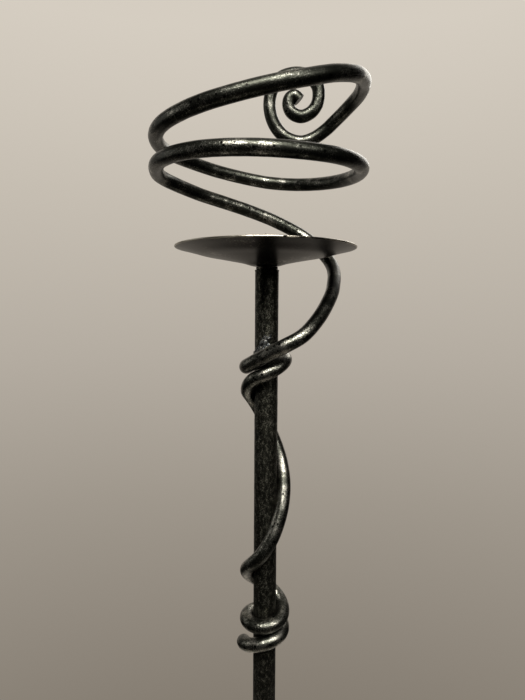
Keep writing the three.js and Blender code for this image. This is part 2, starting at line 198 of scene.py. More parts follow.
@dataclass(frozen=True)
class RubbedIron:
    """Iron under a black patina that was rubbed back to the metal in clouds and specks."""

    name: str
    colours: tuple[str, str, str]  # the whole patina, the worn one and the bare metal
    cloud: float  # the size of a rubbed cloud
    speck: float  # the size of one speck
    rubbed: float  # 0 leaves the patina whole, 1 rubs all of it away
    rough: tuple[float, float]  # of the whole patina and of the bare metal
    relief: float  # the depth of the pits and brush marks
    grain: float = 1.0  # how far the pattern is drawn out upwards: 1 is even
    fleck: float = 0.0  # the size of dark flecks, where the surface has them
    bare_rim: tuple[float, float] | None = None  # an axis's place along X, and a radius
    whole_at: tuple[float, float, float, float] | None = None  # a place and a radius left unrubbed
    handled: tuple[float, float] | None = None  # heights between which more and more is rubbed

    SPECK_SHARE = 0.55  # of specks in the pattern; clouds make up the rest
    FLAKE_SHARE = 0.6  # of a speck's scale, for the flakes in the relief
    WORN_AT = 0.45  # where the worn colour lies between the patina and the metal
    LEVEL_REACH = 0.22  # how far the pattern's level moves from no rubbing to all
    SOFT_BELOW, SOFT_ABOVE = 0.1, 0.17  # a rubbed spot's soft edge, round that level
    HANDLED_RISE = 0.05
    RIM_WIDTH = 0.5
    PATCH_SIZE = 14.0
    PATCH_FROM, PATCH_TO = 0.34, 0.5
    SPOT_CORE = 0.75  # the share of a spared spot's radius that stays wholly black
    FLECK_SHARE, FLECK_FROM, FLECK_TO = 0.2, 0.14, 0.2
    FLECK_COLOUR = "#0b0a09"

    def make(self) -> bpy.types.Material:
        """Builds the material."""
        material, add, place = start_material(self.name)
        drawn = add("ShaderNodeMapping", {"Vector": place, "Scale": (1.0, 1.0, 1.0 / self.grain)})
        cloud = add(NOISE, {"Vector": drawn, "Scale": texture_scale(self.cloud), "Detail": 3.0})
        speck = add(
            NOISE,
            {"Vector": drawn, "Scale": texture_scale(self.speck), "Detail": 2.0, "Roughness": 0.7},
        )
        flake_scale = texture_scale(self.speck, self.FLAKE_SHARE)
        flakes = add("ShaderNodeTexVoronoi", {"Vector": drawn, "Scale": flake_scale})
        # Specks and clouds together say how far each spot is rubbed.
        mixed = add("ShaderNodeMix", {0: self.SPECK_SHARE, 2: cloud, 3: speck}, data_type="FLOAT")
        if self.handled:
            mixed = self.rub_below(add, place, mixed)
        level = 0.5 - self.LEVEL_REACH * (self.rubbed - 0.5)
        start, end = level - self.SOFT_BELOW, level + self.SOFT_ABOVE
        wear = add(
            RANGE,
            {"Value": mixed, "From Min": start, "From Max": end},
            interpolation_type="SMOOTHSTEP",
        )
        if self.bare_rim:
            wear = self.rub_rim(add, place, wear)
        if self.whole_at:
            wear = self.spare_spot(add, place, wear)
        ramp = add("ShaderNodeValToRGB", {"Fac": wear})
        paint_ramp(ramp.color_ramp, list(zip((0.0, self.WORN_AT, 1.0), self.colours)))
        colour = self.fleck_dark(add, place, ramp) if self.fleck else ramp
        whole, bare = self.rough
        rough = add(RANGE, {"Value": wear, "To Min": whole, "To Max": bare})
        height = add(MATH, {0: speck, 1: flakes}, operation="ADD")
        look = {"Base Color": colour, "Metallic": 1.0, "Roughness": rough}
        close_material(add, look, height, self.relief)
        return material

    def rub_rim(self, add: Adder, place: Any, wear: Any) -> bpy.types.Node:
        """Bares the metal past a radius, as on a sheet's rim, in patches."""
        middle_x, radius = self.bare_rim
        middle = (-middle_x * METRES, 0.0, 0.0)
        flat = {"Vector": place, "Location": middle, "Scale": (1.0, 1.0, 0.0)}
        across = add("ShaderNodeMapping", flat)
        away = add("ShaderNodeVectorMath", {0: across}, operation="LENGTH").outputs["Value"]
        start, end = (radius - self.RIM_WIDTH) * METRES, radius * METRES
        edge = add(RANGE, {"Value": away, "From Min": start, "From Max": end})
        scale = texture_scale(self.PATCH_SIZE)
        patch = add(NOISE, {"Vector": place, "Scale": scale, "Detail": 4.0})
        start, end = self.PATCH_FROM, self.PATCH_TO
        share = add(RANGE, {"Value": patch, "From Min": start, "From Max": end})
        bare = add(MATH, {0: edge, 1: share}, operation="MULTIPLY")
        return add(MATH, {0: wear, 1: bare}, operation="MAXIMUM")

    def rub_below(self, add: Adder, place: Any, mixed: Any) -> bpy.types.Node:
        """Rubs more below a height, where hands and cloths reach."""
        start, end = (height * METRES for height in self.handled)
        height = add("ShaderNodeSeparateXYZ", {0: place}).outputs["Z"]
        reach = {"From Min": start, "From Max": end, "To Max": self.HANDLED_RISE}
        more = add(RANGE, {"Value": height, **reach})
        return add(MATH, {0: mixed, 1: more}, operation="ADD")

    def spare_spot(self, add: Adder, place: Any, wear: Any) -> bpy.types.Node:
        """Leaves the patina whole round one place that no brush reaches."""
        *middle, radius = self.whole_at
        spot = tuple(share * METRES for share in middle)
        away = add("ShaderNodeVectorMath", {0: place, 1: spot}, operation="DISTANCE")
        start, end = self.SPOT_CORE * radius * METRES, radius * METRES
        clear = add(RANGE, {"Value": away.outputs["Value"], "From Min": start, "From Max": end})
        return add(MATH, {0: wear, 1: clear}, operation="MULTIPLY")

    def fleck_dark(self, add: Adder, place: Any, colour: Any) -> bpy.types.NodeSocket:
        """Leaves small black pits and flecks of old wax here and there in the colour."""
        scale = texture_scale(self.fleck, self.FLECK_SHARE)
        spots = add("ShaderNodeTexVoronoi", {"Vector": place, "Scale": scale})
        start, end = self.FLECK_FROM, self.FLECK_TO
        clear = add(RANGE, {"Value": spots, "From Min": start, "From Max": end})
        both = {0: clear, 6: linear(self.FLECK_COLOUR), 7: colour}
        return add("ShaderNodeMix", both, data_type="RGBA").outputs[2]


@dataclass(frozen=True)
class ZincPlate:
    """Bright zinc on turned steel: a cool grey with faint crystals and fine turning lines."""

    name: str = "Zinc plated turned steel"
    light: str = "#b4b7b8"
    dark: str = "#84888a"
    crystal: float = 1.6
    line_length: float = 4.0
    line_crowding: float = 14.0  # how much closer the turning lines lie upwards
    rough: tuple[float, float] = (0.28, 0.5)
    relief: float = 0.02

    def make(self) -> bpy.types.Material:
        """Builds the material."""
        material, add, place = start_material(self.name)
        crystal_scale = texture_scale(self.crystal)
        crystals = add("ShaderNodeTexVoronoi", {"Vector": place, "Scale": crystal_scale})
        crowded = (1.0, 1.0, self.line_crowding)
        upright = add("ShaderNodeMapping", {"Vector": place, "Scale": crowded})
        lines = add(NOISE, {"Vector": upright, "Scale": texture_scale(self.line_length)})
        ramp = add("ShaderNodeValToRGB", {"Fac": crystals})
        paint_ramp(ramp.color_ramp, [(0.1, self.dark), (0.8, self.light)])
        least, most = self.rough
        rough = add(RANGE, {"Value": lines, "To Min": least, "To Max": most})
        look = {"Base Color": ramp, "Metallic": 1.0, "Roughness": rough}
        close_material(add, look, lines, self.relief, strength=0.6)
        return material


@dataclass(frozen=True)
class PressedFelt:
    """Wool felt, cut with a punch: matt, fibrous, slightly mottled."""

    name: str = "Pressed wool felt"
    light: str = "#3b3834"
    dark: str = "#1d1b19"
    fibre: float = 0.5  # a real fibre is thinner; drawn as coarse as it needs to show
    relief: float = 0.2

    def make(self) -> bpy.types.Material:
        """Builds the material."""
        material, add, place = start_material(self.name)
        scale = texture_scale(self.fibre)
        fibres = add(NOISE, {"Vector": place, "Scale": scale, "Detail": 4.0, "Distortion": 1.5})
        ramp = add("ShaderNodeValToRGB", {"Fac": fibres})
        paint_ramp(ramp.color_ramp, [(0.3, self.dark), (0.7, self.light)])
        look = {"Base Color": ramp, "Roughness": 0.95, "Sheen Weight": 0.3}
        close_material(add, look, fibres, self.relief)
        return material


@dataclass
class Palette:
    """Every finish of the stand, each made once."""

    # Hot-rolled round bar, blackened and waxed: near black, with silvery rubbed metal on top.
    bar: bpy.types.Material = field(
        default_factory=RubbedIron(
            "Blackened round iron bar, rubbed", ("#232420", "#3b3c37", "#97958d"), cloud=9.0,
            speck=0.7, rubbed=0.4, rough=(0.36, 0.3), relief=0.05, fleck=0.95,
            handled=(1075.0, 1020.0), whole_at=(23.0, 50.0, 1196.5, 6.5),
        ).make
    )  # fmt: skip
    # Drawn steel tube under the same patina, brushed: near black, with a fine grey grain.
    tube: bpy.types.Material = field(
        default_factory=RubbedIron(
            "Blackened drawn steel tube, brushed", ("#151512", "#32322c", "#7b796e"), cloud=1.8,
            speck=0.45, rubbed=0.42, rough=(0.52, 0.45), relief=0.08, grain=1.7,
        ).make
    )  # fmt: skip
    # Pressed sheet, waxed satin: a smooth dark grey-brown with few flecks and a rubbed rim.
    sheet: bpy.types.Material = field(
        default_factory=RubbedIron(
            "Waxed pressed steel sheet", ("#211f1c", "#36332f", "#a9a498"), cloud=20.0,
            speck=1.4, rubbed=0.12, rough=(0.34, 0.3), relief=0.012, fleck=1.3,
            bare_rim=(-0.9, 57.8),
        ).make
    )  # fmt: skip
    # Turned steel shoulder, darkened: small light scratches over black.
    neck: bpy.types.Material = field(
        default_factory=RubbedIron(
            "Darkened turned steel", ("#15130f", "#35322b", "#a39c8d"), cloud=2.0, speck=0.6,
            rubbed=0.5, rough=(0.45, 0.35), relief=0.05,
        ).make
    )  # fmt: skip
    # Weld metal, brushed and blackened: mottled blue-grey and brown.
    weld: bpy.types.Material = field(
        default_factory=RubbedIron(
            "Blackened weld metal", ("#191a1a", "#414446", "#939087"), cloud=2.4, speck=0.7,
            rubbed=0.55, rough=(0.5, 0.38), relief=0.15,
        ).make
    )  # fmt: skip
    zinc: bpy.types.Material = field(default_factory=ZincPlate().make)
    felt: bpy.types.Material = field(default_factory=PressedFelt().make)


# ---- Lines that bars follow ----


def on_line(points: Sequence[Vector], at: float, power: float) -> Vector:
    """The place on a Catmull-Rom line through points.

    Args:
        points: What the line goes through.
        at: From 0 at the first point to 1 at the last, even in spans.
        power: 0 for the uniform line, 0.5 for the centripetal one.

    Returns:
        The place there.
    """
    spans = len(points) - 1
    span = min(int(at * spans), spans - 1)
    share = at * spans - span
    first, second = points[span], points[span + 1]
    before = points[span - 1] if span else 2 * first - second
    after = points[span + 2] if span + 2 <= spans else 2 * second - first
    pairs = ((before, first), (first, second), (second, after))
    lead, middle, trail = ((end - start).length ** power for start, end in pairs)
    leave = (
        (first - before) / lead - (second - before) / (lead + middle) + (second - first) / middle
    ) * middle
    arrive = (
        (second - first) / middle - (after - first) / (middle + trail) + (after - second) / trail
    ) * middle
    return (
        first
        + leave * share
        + (3 * (second - first) - 2 * leave - arrive) * share**2
        + (2 * (first - second) + leave + arrive) * share**3
    )


def eased(stations: Sequence[Station], spacing: float) -> list[Vector]:
    """Given stations of turn, radius and height, made closer and even.

    Args:
        stations: The stations, by rising turn.
        spacing: Degrees of turn between the new ones.

    Returns:
        The new stations.
    """
    points = [Vector(station) for station in stations]
    count = int((points[-1].x - points[0].x) / spacing + 0.5)
    return [on_line(points, index / count, 0.0) for index in range(count + 1)]


def spaced(points: Sequence[Vector], step: float, fineness: int = 40) -> list[Vector]:
    """Places along the centripetal line through points, about a step apart all the way.

    Args:
        points: What the line goes through.
        step: The distance between the places.
        fineness: The chords between two points by which the line is measured.

    Returns:
        The places, the line's two ends among them.
    """
    count = (len(points) - 1) * fineness
    fine = [on_line(points, index / count, 0.5) for index in range(count + 1)]
    reach = [0.0]
    for start, end in zip(fine, fine[1:]):
        reach.append(reach[-1] + (end - start).length)
    parts = round(reach[-1] / step)
    places, at = [], 0
    for index in range(parts + 1):
        wanted = reach[-1] * index / parts
        while at < count - 1 and reach[at + 1] < wanted:
            at += 1
        share = (wanted - reach[at]) / (reach[at + 1] - reach[at])
        places.append(fine[at].lerp(fine[at + 1], share))
    return places


def line_mesh(name: str, places: Sequence[Vector]) -> bpy.types.Mesh:
    """A mesh of one open line, in metres, for a node tree to sweep."""
    mesh = bpy.data.meshes.new(name)
    edges = [(index, index + 1) for index in range(len(places) - 1)]
    mesh.from_pydata([tuple(place * METRES) for place in places], edges, [])
    return mesh


# ---- Turned shapes ----


def ring(inner: float, outer: float, bottom: float, top: float) -> Outline:
    """The square section of a ring, or of a disc where it starts on the axis."""
    return [(inner, bottom), (outer, bottom), (outer, top), (inner, top)]


def rounded(outline: Outline, fillet: float, steps: int = 4) -> Outline:
    """A closed section with every corner eased by a small curve.

    Args:
        outline: The section's corners in order, the first not repeated.
        fillet: How far from a corner its curve starts; short sides get less.
        steps: The points on each curve, less one.

    Returns:
        The new outline. Corners on the axis stay sharp.
    """
    made: Outline = []
    for index, corner in enumerate(outline):
        here = Vector(corner)
        before, after = Vector(outline[index - 1]), Vector(outline[(index + 1) % len(outline)])
        if here.x < ON_AXIS:
            made.append(corner)
            continue
        start = here + (before - here) * min(fillet / (before - here).length, 0.45)
        end = here + (after - here) * min(fillet / (after - here).length, 0.45)
        for step in range(steps + 1):
            share = step / steps
            place = start.lerp(here, share).lerp(here.lerp(end, share), share)
            made.append((place.x, place.y))
    return made


def divided(outline: Outline, step: float, closed: bool = True) -> Outline:
    """A section with its long sides cut into lengths of about a step.

    Args:
        outline: The section's corners in order, the first not repeated.
        step: The length.
        closed: Whether a side runs back to the first corner; on the axis, none does.

    Returns:
        The new outline.
    """
    made: Outline = []
    for corner, end in zip(outline, outline[1:] + outline[: int(closed)]):
        here, after = Vector(corner), Vector(end)
        parts = max(1, round((after - here).length / step))
        made += [tuple(here.lerp(after, part / parts)) for part in range(parts)]
    return made if closed else [*made, outline[-1]]


def turned_mesh(name: str, outline: Outline, segments: int, middle_x: float) -> bpy.types.Mesh:
    """A closed solid of revolution about an upright axis.

    Args:
        name: The mesh's name.
        outline: Radius and height in order, anticlockwise with the axis on the left. A section that
            starts and ends on the axis is closed there by its poles.
        segments: The steps round the axis.
        middle_x: How far the axis stands from the stem's.

    Returns:
        The mesh, in metres.
    """
    places: list[Station] = []
    rings: list[list[int]] = []
    for radius, height in outline:
        count = 1 if radius < ON_AXIS else segments
        rings.append(list(range(len(places), len(places) + count)))
        for step in range(count):
            angle = 2 * math.pi * step / segments
            x, y = middle_x + radius * math.cos(angle), radius * math.sin(angle)
            places.append((x * METRES, y * METRES, height * METRES))
    pairs = list(zip(rings, rings[1:]))
    if len(rings[0]) > 1 or len(rings[-1]) > 1:
        pairs.append((rings[-1], rings[0]))
    faces: list[tuple[int, ...]] = []
    for low, high in pairs:
        for step in range(segments):
            after = (step + 1) % segments
            if len(low) == 1:
                faces.append((low[0], high[after], high[step]))
            elif len(high) == 1:
                faces.append((low[step], low[after], high[0]))
            else:
                faces.append((low[step], low[after], high[after], high[step]))
    mesh = bpy.data.meshes.new(name)
    mesh.from_pydata(places, [], faces)
    return mesh


# ---- Node trees that finish the shapes ----


SOCKET_KINDS = {float: "NodeSocketFloat", int: "NodeSocketInt", type(None): "NodeSocketMaterial"}
COMMON_INPUTS = {
    "Dent depth": 0.00005,
    "Dent size": 0.01,
    "Seed": 1.0,
    "Bearing": 0.0,
    "Hard edge": 0.7,
    "Finish": None,
}


def new_tree(name: str, inputs: dict[str, Any]) -> tuple[bpy.types.NodeTree, Adder, Any]:
    """Starts a geometry tree.

    Args:
        name: The tree's name.
        inputs: The default of each input after the geometry; None stands for a material.

    Returns:
        The tree, what adds a node to it, and the outputs of its group input.
    """
    tree = bpy.data.node_groups.new(name, "GeometryNodeTree")
    add_socket = tree.interface.new_socket
    add_socket(name="Geometry", in_out="INPUT", socket_type="NodeSocketGeometry")
    for key, default in inputs.items():
        kind = SOCKET_KINDS[type(default)]
        socket = add_socket(name=key, in_out="INPUT", socket_type=kind)
        if default is not None:
            socket.default_value = default
    add_socket(name="Geometry", in_out="OUTPUT", socket_type="NodeSocketGeometry")
    add = functools.partial(add_node, tree)
    return tree, add, add("NodeGroupInput").outputs


def dent(add: Adder, shape: Any, given: Any) -> bpy.types.Node:
    """Presses shallow hollows into a surface, never past where it was.

    Args:
        add: Adds a node to the tree, whose inputs include Dent depth, Dent size and Seed.
        shape: The geometry to dent.
        given: The outputs of the group input.

    Returns:
        The node that gives the dented geometry.
    """
    scale = add(MATH, {0: 1.0, 1: given["Dent size"]}, operation="DIVIDE")
    place = add("GeometryNodeInputPosition")
    pattern = {"Vector": place, "W": given["Seed"], "Scale": scale, "Detail": 2.0}
    noise = add(NOISE, pattern, noise_dimensions="4D")
    hollow = add(RANGE, {"Value": noise, "From Min": 0.3, "From Max": 0.7})
    below = add(MATH, {0: hollow, 1: 1.0}, operation="SUBTRACT")
    depth = add(MATH, {0: below, 1: given["Dent depth"]}, operation="MULTIPLY")
    outwards = add("GeometryNodeInputNormal")
    push = add("ShaderNodeVectorMath", {0: outwards, "Scale": depth}, operation="SCALE")
    return add("GeometryNodeSetPosition", {"Geometry": shape, "Offset": push})


def close_tree(add: Adder, shape: Any, given: Any) -> None:
    """Turns the shape to its bearing, smooths it up to its hard edges, and sets its finish.

    Args:
        add: Adds a node to the tree, whose inputs include Bearing, Hard edge and Finish.
        shape: The geometry.
        given: The outputs of the group input.
    """
    about_z = {"Axis": (0.0, 0.0, 1.0), "Angle": given["Bearing"]}
    turn = add("FunctionNodeAxisAngleToRotation", about_z)
    placed = add("GeometryNodeTransform", {"Geometry": shape, "Rotation": turn})
    smooth = add("GeometryNodeSetShadeSmooth", {0: placed, "Shade Smooth": True})
    angle = add("GeometryNodeInputMeshEdgeAngle")
    hard = add("FunctionNodeCompare", {0: angle, 1: given["Hard edge"]}, operation="GREATER_THAN")
    crisp = {0: smooth, "Selection": hard, "Shade Smooth": False}
    edged = add("GeometryNodeSetShadeSmooth", crisp, domain="EDGE")
    real = add("GeometryNodeRealizeInstances", {"Geometry": edged})
    dressed = add("GeometryNodeSetMaterial", {"Geometry": real, "Material": given["Finish"]})
    add("NodeGroupOutput", {"Geometry": dressed})


@functools.cache
def swept_tree() -> bpy.types.NodeTree:
    """The tree that sweeps a round bar or a rippled weld along a line."""
    own = {
        "Radius": 0.005,
        "Sides": 24,
        "End round": 0.001,
        "End size": 0.8,
        "Ripple pitch": 0.002,
        "Ripple depth": 0.0,
    }
    tree, add, given = new_tree("Round bar along a line", own | COMMON_INPUTS)
    line = add("GeometryNodeMeshToCurve", {0: given["Geometry"]})
    along = add("GeometryNodeSplineParameter").outputs["Length"]
    total = add("GeometryNodeSplineLength").outputs["Length"]
    left = add(MATH, {0: total, 1: along}, operation="SUBTRACT")
    near = add(MATH, {0: along, 1: left}, operation="MINIMUM")
    # A quarter ellipse rounds each end off.
    falling = {"From Max": given["End round"], "To Min": 1.0, "To Max": 0.0}
    short = add(RANGE, {"Value": near, **falling})
    square = add(MATH, {0: short, 1: 2.0}, operation="POWER")
    rest = add(MATH, {0: 1.0, 1: square}, operation="SUBTRACT")
    root = add(MATH, {0: rest}, operation="SQRT")
    end = add(RANGE, {"Value": root, "To Min": given["End size"], "To Max": 1.0})
    turns = add(MATH, {0: along, 1: given["Ripple pitch"]}, operation="DIVIDE")
    phase = add(MATH, {0: turns, 1: 2 * math.pi}, operation="MULTIPLY")
    wave = add(MATH, {0: phase}, operation="SINE")
    low = add(MATH, {0: wave, 1: -1.0}, operation="ADD")
    ripple = add(MATH, {0: low, 1: given["Ripple depth"], 2: 1.0}, operation="MULTIPLY_ADD")
    size = add(MATH, {0: end, 1: ripple}, operation="MULTIPLY")
    sized = add("GeometryNodeSetCurveRadius", {0: line, "Radius": size})
    round_section = {"Resolution": given["Sides"], "Radius": given["Radius"]}
    section = add("GeometryNodeCurvePrimitiveCircle", round_section)
    sweep = {"Curve": sized, "Profile Curve": section, "Fill Caps": True}
    bar = add("GeometryNodeCurveToMesh", sweep)
    close_tree(add, dent(add, bar, given), given)
    return tree


@functools.cache
def worn_tree() -> bpy.types.NodeTree:
    """The tree that dents and dresses a turned or pressed shape."""
    tree, add, given = new_tree("Worn surface", COMMON_INPUTS)
    close_tree(add, dent(add, given["Geometry"], given), given)
    return tree


# ---- Pieces ----


def linked(name: str, data: bpy.types.ID) -> bpy.types.Object:
    """A new object in the scene, at the origin."""
    thing = bpy.data.objects.new(name, data)
    bpy.context.scene.collection.objects.link(thing)
    return thing


def baked(thing: bpy.types.Object) -> bpy.types.Mesh:
    """A plain mesh of what an object's modifiers make, in place of the object."""
    graph = bpy.context.evaluated_depsgraph_get()
    made = bpy.data.meshes.new_from_object(thing.evaluated_get(graph), depsgraph=graph)
    bpy.data.objects.remove(thing)
    return made


def grow(
    name: str, mesh: bpy.types.Mesh, tree: bpy.types.NodeTree, values: dict[str, Any]
) -> bpy.types.Object:
    """Runs a node tree on a mesh and keeps what it makes as a plain piece.

    Args:
        name: The piece's name.
        mesh: What the tree starts from; it is used up.
        tree: The tree.
        values: A value for each of the tree's inputs by name; the others keep their defaults.

    Returns:
        The piece, at the origin, without modifiers.
    """
    start = linked(name + "_start", mesh)
    modifier = start.modifiers.new("Shape", "NODES")
    modifier.node_group = tree
    sockets = {item.name: item.identifier for item in tree.interface.items_tree}
    for key, value in values.items():
        modifier[sockets[key]] = value
    made = baked(start)
    made.name = name
    bpy.data.meshes.remove(mesh)
    return linked(name, made)


def melted(name: str, parts: list[bpy.types.Object], voxel: float) -> bpy.types.Mesh:
    """Melts overlapping pieces into one smooth skin, and removes them.

    Args:
        name: The new mesh's name.
        parts: The pieces.
        voxel: The size of the grid that finds the skin.

    Returns:
        The mesh.
    """
    joined = bmesh.new()
    for part in parts:
        joined.from_mesh(part.data)
        bpy.data.objects.remove(part)
    mesh = bpy.data.meshes.new(name)
    joined.to_mesh(mesh)
    joined.free()
    whole = linked(name, mesh)
    skin = whole.modifiers.new("Skin", "REMESH")
    skin.mode = "VOXEL"
    skin.voxel_size = voxel * METRES
    whole.modifiers.new("Soft", "SMOOTH").iterations = 6
    return baked(whole)


@dataclass(frozen=True)
class Wear:
    """How unevenly a surface was left: shallow hollows of a depth and a size."""

    depth: float
    size: float
    seed: float
    hard_edge: float = 40.0  # degrees between faces, past which an edge is kept crisp

    def values(self, finish: bpy.types.Material, bearing: float) -> dict[str, Any]:
        """The tree's inputs that this wear, a finish and a bearing in degrees set."""
        return {
            "Dent depth": self.depth * METRES,
            "Dent size": self.size * METRES,
            "Seed": self.seed,
            "Bearing": math.radians(bearing),
            "Hard edge": math.radians(self.hard_edge),
            "Finish": finish,
        }


@dataclass(frozen=True)
class Sweep:
    """The round section that makes a bar, or a bead of weld, along a line."""

    radius: float
    sides: int
    end_round: float  # the length over which each end is rounded off
    end_size: float  # the share of the radius that is left at the very end
    ripple_pitch: float = 2.0
    ripple_depth: float = 0.0  # half of how far a ripple dips, as a share of the radius

    def values(self) -> dict[str, Any]:
        """The swept tree's inputs that this sets."""
        return {
            "Radius": self.radius * METRES,
            "Sides": self.sides,
            "End round": self.end_round * METRES,
            "End size": self.end_size,
            "Ripple pitch": self.ripple_pitch * METRES,
            "Ripple depth": self.ripple_depth,
        }


def swept(
    name: str,
    places: Sequence[Vector],
    section: Sweep,
    wear: Wear,
    finish: bpy.types.Material,
    bearing: float = 0.0,
) -> bpy.types.Object:
    """Sweeps a bar or a bead along its places.

    Args:
        name: The piece's name.
        places: The line, before it turns to its bearing.
        section: What is swept.
        wear: The surface.
        finish: The material.
        bearing: Degrees about the stem's axis.

    Returns:
        The piece.
    """
    values = {**section.values(), **wear.values(finish, bearing)}
    return grow(name, line_mesh(name + "_line", places), swept_tree(), values)


def turned(
    name: str,
    outline: Outline,
    segments: int,
    wear: Wear,
    finish: bpy.types.Material,
    middle_x: float = 0.0,
    bearing: float = 0.0,
) -> bpy.types.Object:
    """Turns a piece about an upright axis.

    Args:
        name: The piece's name.
        outline: Its section.
        segments: The steps round the axis.
        wear: The surface.
        finish: The material.
        middle_x: How far the axis stands from the stem's, before it turns to its bearing.
        bearing: Degrees about the stem's axis.

    Returns:
        The piece.
    """
    mesh = turned_mesh(name, outline, segments, middle_x)
    return grow(name, mesh, worn_tree(), wear.values(finish, bearing))


def fit(piece: bpy.types.Object, slot: Slot, *nodes: str) -> None:
    """Puts a finished piece on the stand in place of its solids, and reports it.

    Args:
        piece: The piece.
        slot: The record's slot for its finish; not used.
        *nodes: The solids that it stands for.
    """
    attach(piece, BODY)
    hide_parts(*nodes)
    LOG.info("%s: %d faces, for %s", piece.name, len(piece.data.polygons), ", ".join(nodes))


def dress(solid: bpy.types.Object, finish: bpy.types.Material) -> None:
    """Gives a solid whose shape is right its finish.

    Args:
        solid: The solid.
        finish: The material.
    """
    solid.data.materials.clear()
    solid.data.materials.append(finish)
    LOG.info("%s: kept as it is, dressed in %s", solid.name, finish.name)


# ---- The long bar ----


def around(station: Sequence[float], middle_x: float = 0.0) -> Vector:
    """A place at a clockwise turn, a radius and a height above the rim, about an upright axis."""
    turn, radius, height = station
    angle = math.radians(-turn)
    x, y = middle_x + radius * math.cos(angle), radius * math.sin(angle)
    return Vector((x, y, RIM_HEIGHT + height))


@dataclass
class CageBar:
    """The long round bar: scroll, two coils, drop, and two knots round the stem."""

    palette: Palette
    radius: float = 4.65
    wrap_gap: float = -0.15  # the real bar lies hard against the stem, in its dents
    rim_gap: float = 0.4
    cage_radius: float = 64.5
    cage_shift: float = -5.5
    scroll_inset: float = 14.5
    scroll_middle: tuple[float, float] = (23.5, 109.0)
    step: float = 1.2
    # The scroll from its cut tip outwards, across and up from its middle, seen from the front.
    scroll_outline: tuple[tuple[float, float], ...] = (
        (-0.5, 2.5), (-4.2, 5.5), (-7.5, 3.5), (-8.4, -1.0), (-6.1, -6.1), (0.5, -9.0), (8.0, -6.0),
        (12.2, -0.3), (13.4, 6.0), (12.4, 12.5), (7.0, 18.7), (-3.1, 21.0), (-14.7, 17.5),
        (-20.3, 9.5), (-22.0, -2.5), (-18.7, -14.3), (-10.7, -23.5), (0.3, -27.0), (9.6, -24.5),
    )  # fmt: skip
    # Turn, spread beyond the cage's radius, and height above the rim.
    cage_lead: tuple[Station, ...] = (
        (-45, 3.5, 90.5), (-38, 5.5, 96.3), (-29, 5, 100), (-19, 4, 102), (-4, 1.5, 101.7),
    )  # fmt: skip
    cage_start: float = 10.0
    cage_step: float = 30.0
    # The height above the rim at every twelfth of a turn.
    cage_heights: tuple[float, ...] = (
        100, 91.5, 80.5, 72, 67.5, 66, 65.5, 65, 61, 55.5, 52, 49.5, 47.5, 45.5, 44, 44.5, 46, 47,
        46.5,
    )  # fmt: skip
    # Turn, spread from the wrapped stem (0) to the pan's rim (1), and height above the rim.
    drop_route: tuple[Station, ...] = (
        (577, 0.965, 42), (597, 0.875, 38), (617, 0.845, 33), (637, 0.9, 26), (658, 0.995, 13.5),
        (679, 0.958, -6), (700, 0.703, -24), (720, 0.514, -37.1), (741, 0.398, -47.8),
        (761, 0.331, -55.7), (781, 0.24, -61.4), (803, 0.116, -66.6),
    )  # fmt: skip
    # Each knot: turn, spread off the stem, and height in bar diameters from the knot's middle.
    upper_middle: float = -78.0
    upper_knot: tuple[Station, ...] = (
        (828, 4, 0.78), (860, 2.8, 0.34), (900, 0.6, 0.11), (945, 0.2, 0.22), (990, 0, 0.52),
        (1080, 0, 0.66), (1170, 0, -0.22), (1215, 0, -0.72), (1260, 0, -1.55),
    )  # fmt: skip
    # The swag between the knots: turn, spread off the stem, and height above the rim.
    swag: tuple[Station, ...] = (
        (1305, 0, -100), (1350, 0, -116), (1440, 0, -156.5), (1530, 0, -195.5), (1620, 0, -215),
        (1710, 0, -231),
    )  # fmt: skip
    lower_middle: float = -250.0
    lower_knot: tuple[Station, ...] = (
        (1800, 0, 0.8), (1890, 0, 0.27), (1980, 0, 0.21), (2070, 0, 0.05), (2160, 0, -0.48),
        (2250, 0, -0.97), (2340, 2.1, -1.64),
    )  # fmt: skip
    knot_step: float = 15.0
    weld_radius: float = 2.2
    weld_slant: float = 27.0
    lower_weld_turns: tuple[float, float] = (2084, 2146)
    # The runs of the upper weld, each a radius and its stations of turn, radius and height.
    upper_weld_runs: tuple[tuple[float, tuple[Station, ...]], ...] = (
        (3.1, ((797, 10.6, -61.5), (812, 10.9, -64), (828, 10.7, -66.6), (850, 10.4, -69.6),
               (872, 10.2, -72))),
        (1.9, ((788, 8.4, -56), (806, 8.6, -58.6), (828, 8.4, -61.6), (852, 8.6, -65.2),
               (876, 8.4, -68))),
        (1.3, ((812, 8, -55.6), (826, 8, -58), (842, 8, -61.4))),
    )  # fmt: skip

    @property
    def wrap_radius(self) -> float:
        """From the stem's axis to the middle of the bar where it wraps the stem."""
        return TUBE_RADIUS + self.wrap_gap + self.radius

    def knot_stations(self) -> list[Vector]:
        """Turn, radius and height through both knots and the swag that hangs between them."""
        bar = 2 * self.radius
        rows: list[Station] = []
        for middle, unit, stations in (
            (self.upper_middle, bar, self.upper_knot),
            (0.0, 1.0, self.swag),
            (self.lower_middle, bar, self.lower_knot),
        ):
            for turn, spread, height in stations:
                rows.append((turn, self.wrap_radius + spread, middle + height * unit))
        return eased(rows, self.knot_step)

    def scroll(self) -> list[Vector]:
        """The points of the scroll at the back."""
        middle_x, middle_z = self.scroll_middle
        depth, height = self.cage_radius - self.scroll_inset, RIM_HEIGHT + middle_z
        return [Vector((middle_x + x, depth, height + z)) for x, z in self.scroll_outline]

    def cage(self) -> list[Vector]:
        """The points of the two coils round the candle."""
        rows = [(turn, self.cage_radius + spread, h) for turn, spread, h in self.cage_lead]
        rows += [
            (self.cage_start + index * self.cage_step, self.cage_radius, height)
            for index, height in enumerate(self.cage_heights)
        ]
        return [around(station, self.cage_shift) for station in eased(rows, self.cage_step / 2)]

